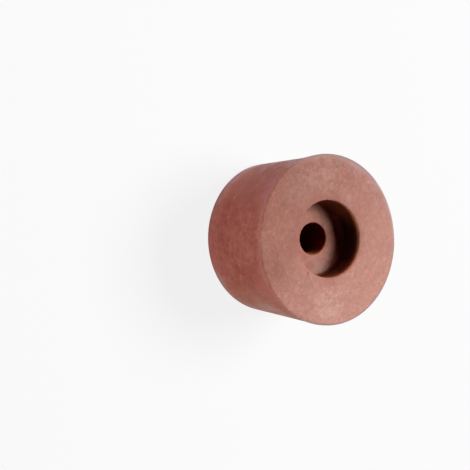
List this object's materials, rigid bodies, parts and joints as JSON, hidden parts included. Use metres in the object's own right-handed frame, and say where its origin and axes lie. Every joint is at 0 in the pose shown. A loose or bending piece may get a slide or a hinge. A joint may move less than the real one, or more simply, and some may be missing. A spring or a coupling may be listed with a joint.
{
  "type": "rubber stopper",
  "caption": "Tapered rubber lab stopper with a round recess in its wide end and a bore right through for a glass tube.",
  "frame": {"origin": "centre of the narrow end face, on the surface that the stopper stands on", "axes": "+Z along the axis of the taper and the bore, from the narrow end to the wide end"},
  "size_m": [0.0499, 0.0498, 0.0305],
  "materials": {
    "rubber": "matt brick-red moulded rubber, dusty and paler on the wide end, darker and slightly mottled on the side"
  },
  "bodies": {
    "root": {"stopper": "rubber"}
  },
  "joints": []
}
